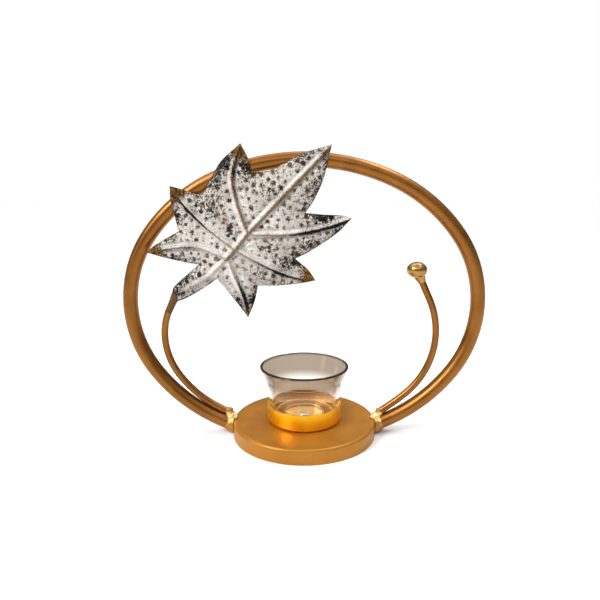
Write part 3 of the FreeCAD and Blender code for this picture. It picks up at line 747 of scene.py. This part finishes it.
def punched_face(flat, height, faces, material):
    """The leaf's front with its punch marks: its points, and how far each is pressed in."""
    mesh = bpy.data.meshes.new("leaf_face")
    places = np.stack([flat[:, 0], LEAF_HIGH[1] - LEAF_SHEET - height, flat[:, 1]], axis=1)
    mesh.from_pydata([tuple(place) for place in places * MM], [], faces)
    face = link_object("leaf_face", mesh)
    rows = link_object("punch_rows", punch_rows())
    punched = grown(face, punch_marks_tree(), Rows=rows, Finish=material)
    pit = np.zeros(len(flat))
    punched.attributes["pit"].data.foreach_get("value", pit)
    shown = np.zeros(len(flat) * 3)
    punched.vertices.foreach_get("co", shown)
    for helper in (face, rows):
        bpy.data.objects.remove(helper)
    return shown.reshape(-1, 3), pit


def closed_sheet(name, front, faces):
    """A face, the same face behind it, and the cut edge round both."""
    count = len(front)
    behind = front + (0, LEAF_SHEET * MM, 0)
    turned = [tuple(index + count for index in reversed(face)) for face in faces]
    sides = dict.fromkeys(pair for a, b, c in faces for pair in ((a, b), (b, c), (c, a)))
    wall = [(a, b, b + count, a + count) for a, b in sides if (b, a) not in sides]
    sheet = bpy.data.meshes.new(name)
    places = np.concatenate([front, behind])
    sheet.from_pydata([tuple(place) for place in places], [], [*faces, *turned, *wall])
    faced_outward(sheet)
    return sheet


def paint_values(flat, edge, near, along):
    """What the leaf's paint follows at each point: gold tips, wear with painted shade under the veins,
    gold under the whitewash, and painted shade with a brown rub on the veins.
    """
    tip, thin, under, tan = np.zeros((4, len(flat)))
    for line, strength in zip(VEINS, TIP_GOLD):
        own = distance_to_line(flat, line)[0] < near + 0.01
        tip[own] = strength * ramp(along[own], TIP_GOLD_START, TIP_GOLD_LENGTH)
    for shares, radius, strength in DARK_PATCHES:
        gap = np.linalg.norm(flat - leaf_place(shares), axis=1)
        thin = np.maximum(thin, strength * bell(gap, radius))
    for line, width, shadow, rub in zip(VEINS, VEIN_WIDTHS, VEIN_SHADOWS, VEIN_RUBS_AND_SHADE):
        gap, share = distance_to_line(flat, line)
        lower = distance_to_line(flat + TOWARDS_VEIN, line)[0] < gap
        fall = bell(gap - width * 0.5 * (1 - VEIN_TAPER * share), SHADOW_WIDTH)
        # Along the lower side of a vein: antique finish in the crease, and painted shade on the side
        # away from the light.
        under = np.maximum(under, shadow * lower * fall * ramp(share, SHADOW_START, SHADOW_LENGTH))
        side = np.where(lower, gap, -gap)
        tan = np.maximum(tan, rub * bell(side - width * RUB_AND_SHADE_PLACE, width * RUB_AND_SHADE_WIDTH))
    rim = np.exp(-edge / RIM_WEAR_REACH)
    panel = ramp(near, 3, 4)
    wear_and_shade = 0.38 * thin + 0.52 * under + 0.17 * rim + 0.18 * panel + 0.06 * along - 0.12
    gilt = np.clip(1 - 1.4 * thin, 0, 1) * np.clip(1 - under, 0, 1)
    return {"tip": tip, "wear_and_shade": wear_and_shade, "gilt": gilt, "tan": tan}


def leaf_piece(body):
    """The pressed leaf: a punched face, the same sheet behind it, and the cut edge round both."""
    flat, faces = leaf_face_mesh()
    edge, near, along, height = leaf_fields(flat)
    paint = leaf_finish()
    front, pit = punched_face(flat, height, faces, paint)
    sheet = closed_sheet("pressed_leaf", front, faces)
    for name, values in {"pit": pit, **paint_values(flat, edge, near, along)}.items():
        layer = sheet.attributes.new(name, "FLOAT", "POINT")
        layer.data.foreach_set("value", np.concatenate([values, values]).astype(np.float32))
    sheet.materials.append(paint)
    softly_shaded(sheet)
    leaf = link_object("pressed_leaf", sheet)
    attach(leaf, body)
    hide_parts("leaf_blade")


leaf_piece("stand")


# Neck and welds

# The neck from the rod up to the leaf's stalk: (x, y, z), half width and half depth, in millimetres
NECK = [
    ((-95.4, -2.55, 90.0), 2.48, 2.48), ((-94.0, -2.62, 92.8), 2.55, 2.55),
    ((-92.4, -2.78, 96.2), 2.60, 2.60), ((-91.1, -2.95, 98.7), 2.75, 2.60),
    ((-89.8, -3.15, 101.0), 3.30, 2.60), ((-88.0, -3.35, 103.3), 4.10, 2.50),
    ((-86.1, -3.55, 105.0), 4.30, 2.20), ((-84.4, -3.80, 106.2), 3.40, 1.60),
]
NECK_AROUND = 40
NECK_RINGS_EACH = 6
NECK_SOFTENING = 3

# A lump over the cut end of the stem, and a toe that laps on to the edge of the base:
# (outward, back, up) and half sizes, in millimetres
LUMPS = [((54.9, 0.0, 15.4), (3.5, 3.7, 3.6)), ((51.6, -0.6, 11.9), (4.0, 3.6, 2.2))]
WELD_VOXEL = 0.35 * MM
WELD_SOFTENING = 14


def neck_piece(body):
    """A dark neck that flares from the rod to the width of the leaf's stalk."""
    centres = np.array([place for place, _, _ in NECK])
    keys = np.arange(len(NECK))
    fine = np.linspace(0, len(NECK) - 1, NECK_RINGS_EACH * (len(NECK) - 1) + 1)
    line = np.stack([np.interp(fine, keys, centres[:, axis]) for axis in range(3)], axis=1)
    for _ in range(NECK_SOFTENING):
        line[1:-1] = (line[:-2] + 2 * line[1:-1] + line[2:]) / 4
    wide = np.interp(fine, keys, [half for _, half, _ in NECK])
    deep = np.interp(fine, keys, [half for _, _, half in NECK])
    way = np.gradient(line, axis=0)
    way /= np.linalg.norm(way, axis=1)[:, None]
    turn = np.linspace(0, 2 * math.pi, NECK_AROUND, endpoint=False)
    rings = []
    for centre, ahead, half, depth in zip(line, way, wide, deep):
        across = np.array([ahead[2], 0, -ahead[0]])
        across /= np.linalg.norm(across)
        front = np.cross(across, ahead)
        rings.append(centre + np.outer(np.cos(turn) * half, across)
                     + np.outer(np.sin(turn) * depth, front))
    places = np.concatenate([*rings, line[:1], line[-1:]])
    last = len(rings) - 1
    low_end, high_end = len(places) - 2, len(places) - 1
    faces = []
    for index in range(NECK_AROUND):
        after = (index + 1) % NECK_AROUND
        for ring in range(last):
            a, b = ring * NECK_AROUND, (ring + 1) * NECK_AROUND
            faces.append((a + index, a + after, b + after, b + index))
        faces.append((low_end, after, index))
        faces.append((high_end, last * NECK_AROUND + index, last * NECK_AROUND + after))
    mesh = bpy.data.meshes.new("neck")
    mesh.from_pydata([tuple(place) for place in places * MM], [], faces)
    faced_outward(mesh)
    mesh.materials.append(AGED_BRONZE)
    softly_shaded(mesh)
    neck = link_object("stalk_neck", mesh)
    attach(neck, body)
    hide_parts("leaf_ferrule")


def weld_skin_tree():
    """Geometry nodes that draw a weld's skin in by uneven amounts."""
    tree, given, out = new_group("GeometryNodeTree", "weld skin", [
        ("Geometry", "NodeSocketGeometry", None),
        ("Lump Size", "NodeSocketFloat", 5.2 * MM),
        ("Draw In", "NodeSocketFloat", 0.8 * MM),
        ("Seed", "NodeSocketFloat", 3.0),
        ("Finish", "NodeSocketMaterial", None),
    ], [("Geometry", "NodeSocketGeometry")])
    scale = maths(tree, "DIVIDE", 1.0, given["Lump Size"])
    texture = add(tree, "ShaderNodeTexNoise", {"noise_dimensions": "4D"}, W=given["Seed"], Scale=scale,
                  Detail=1.0).outputs[0]
    hollow = ranged(tree, texture, NOISE_HIGH, NOISE_LOW)
    amount = maths(tree, "MULTIPLY", hollow, given["Draw In"])
    facing = tree.nodes.new("GeometryNodeInputNormal").outputs[0]
    inward = add(tree, "ShaderNodeVectorMath", {"operation": "SCALE"}, i0=facing,
                 Scale=maths(tree, "MULTIPLY", amount, -1.0)).outputs[0]
    moved = add(tree, "GeometryNodeSetPosition", Geometry=given["Geometry"], Offset=inward).outputs[0]
    dressed(tree, moved, given["Finish"], out)
    return tree


def with_lumps(mesh, side):
    """Adds the lumps to a weld on the left, side -1, or on the right, side 1."""
    form = bmesh.new()
    form.from_mesh(mesh)
    for (outward, back, up), (wide, deep, high) in LUMPS:
        place = Matrix.Translation((side * outward * MM, back * MM, up * MM))
        size = Matrix.Diagonal((wide * MM, deep * MM, high * MM, 1))
        bmesh.ops.create_icosphere(form, subdivisions=3, radius=1.0, matrix=place @ size)
    form.to_mesh(mesh)
    form.free()


def weld_piece(name, node, seed, material, body, tree, lumps_side=0):
    """An uneven weld in place of a plain one."""
    shape = link_object(name, nodes[node].data.copy())
    if lumps_side:
        with_lumps(shape.data, lumps_side)
    whole = shape.modifiers.new("one skin", "REMESH")
    whole.mode = "VOXEL"
    whole.voxel_size = WELD_VOXEL
    softer = shape.modifiers.new("softer", "SMOOTH")
    softer.factor = 0.5
    softer.iterations = WELD_SOFTENING
    mesh = grown(shape, tree, Seed=seed, Finish=material)
    bpy.data.objects.remove(shape)
    mesh.name = name
    mesh.shade_smooth()
    weld = link_object(name, mesh)
    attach(weld, body)
    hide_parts(node)


neck_piece("stand")
WELD_SKIN = weld_skin_tree()
weld_piece("left_weld_bead", "left_weld", 3.0, GILT_WELD, "stand", WELD_SKIN, -1)
weld_piece("right_weld_bead", "right_weld", 8.0, GILT_WELD, "stand", WELD_SKIN, 1)
weld_piece("tack_weld_beads", "leaf_tack_welds", 5.0, AGED_BRONZE, "stand", WELD_SKIN)


# Floor, light and camera

FLOOR_REACH = 12.0
LIGHTS_AIM = Vector((0, 0, 0.1))
SUN_WAY = Vector((0.95, 0.6, -0.9))
ROOM_DIM = (0.17, 0.166, 0.162, 1)
ROOM_BRIGHT = (1.05, 1.06, 1.08, 1)


def pale_floor():
    mesh = bpy.data.meshes.new("pale_floor")
    corners = [(x * FLOOR_REACH, y * FLOOR_REACH, 0) for x, y in ((-1, -1), (1, -1), (1, 1), (-1, 1))]
    mesh.from_pydata(corners, [], [(0, 1, 2, 3)])
    floor = link_object("pale_floor", mesh)
    material = bpy.data.materials.new("pale_floor")
    material.use_nodes = True
    shader = material.node_tree.nodes["Principled BSDF"]
    shader.inputs["Base Color"].default_value = (0.9, 0.9, 0.9, 1)
    shader.inputs["Roughness"].default_value = 0.9
    mesh.materials.append(material)


def aimed(holder, way):
    """Turns a light to shine along a direction."""
    holder.rotation_euler = way.to_track_quat("-Z", "Y").to_euler()


def soft_light(name, place, size, power):
    lamp = bpy.data.lights.new(name, "AREA")
    lamp.shape = "RECTANGLE"
    lamp.size, lamp.size_y = size
    lamp.energy = power
    holder = link_object(name, lamp)
    holder.location = place
    aimed(holder, LIGHTS_AIM - Vector(place))


def sunlight():
    sun = bpy.data.lights.new("key", "SUN")
    sun.energy = 2.3
    sun.angle = math.radians(24)
    sun.color = (1, 0.985, 0.96)
    aimed(link_object("key", sun), SUN_WAY)


def room():
    """White paper behind, and a room that is bright overhead and dim at eye level."""
    world = bpy.data.worlds.new("studio")
    bpy.context.scene.world = world
    world.use_nodes = True
    tree = world.node_tree
    walls = tree.nodes["Background"]
    way = tree.nodes.new("ShaderNodeTexCoord").outputs["Generated"]
    glow = mixed(tree, ranged(tree, upward(tree, way), 0.3, 0.9), ROOM_DIM, ROOM_BRIGHT)
    tree.links.new(glow, walls.inputs["Color"])
    paper = add(tree, "ShaderNodeBackground", Color=(1, 1, 1, 1), Strength=1.0)
    seen = tree.nodes.new("ShaderNodeLightPath").outputs["Is Camera Ray"]
    both = add(tree, "ShaderNodeMixShader", i0=seen, i1=walls.outputs[0], i2=paper.outputs[0]).outputs[0]
    tree.links.new(both, tree.nodes["World Output"].inputs["Surface"])


def photo_camera():
    """The photograph's viewpoint: about 11 degrees above, 0.37 m from the hoop."""
    lens = bpy.data.cameras.new("photo_camera")
    lens.lens = 31.79
    lens.shift_x = -0.007
    lens.clip_start = 0.01
    camera = link_object("photo_camera", lens)
    camera.location = (0, -0.3653, 0.1701)
    camera.rotation_euler = (math.radians(78.92), 0, 0)
    bpy.context.scene.camera = camera


pale_floor()
room()
sunlight()
soft_light("left_strip", (-0.6, -0.3, 0.45), size=(0.15, 0.6), power=0.4)
soft_light("overhead_strip", (0.4, 0.1, 0.9), size=(0.45, 0.12), power=2.6)
soft_light("front_strip", (-0.1, -0.55, 0.6), size=(0.9, 0.07), power=1.0)
soft_light("top_strip", (0.0, 0.35, 0.95), size=(1.2, 0.25), power=2.2)
photo_camera()
bpy.context.scene.view_settings.view_transform = "Standard"
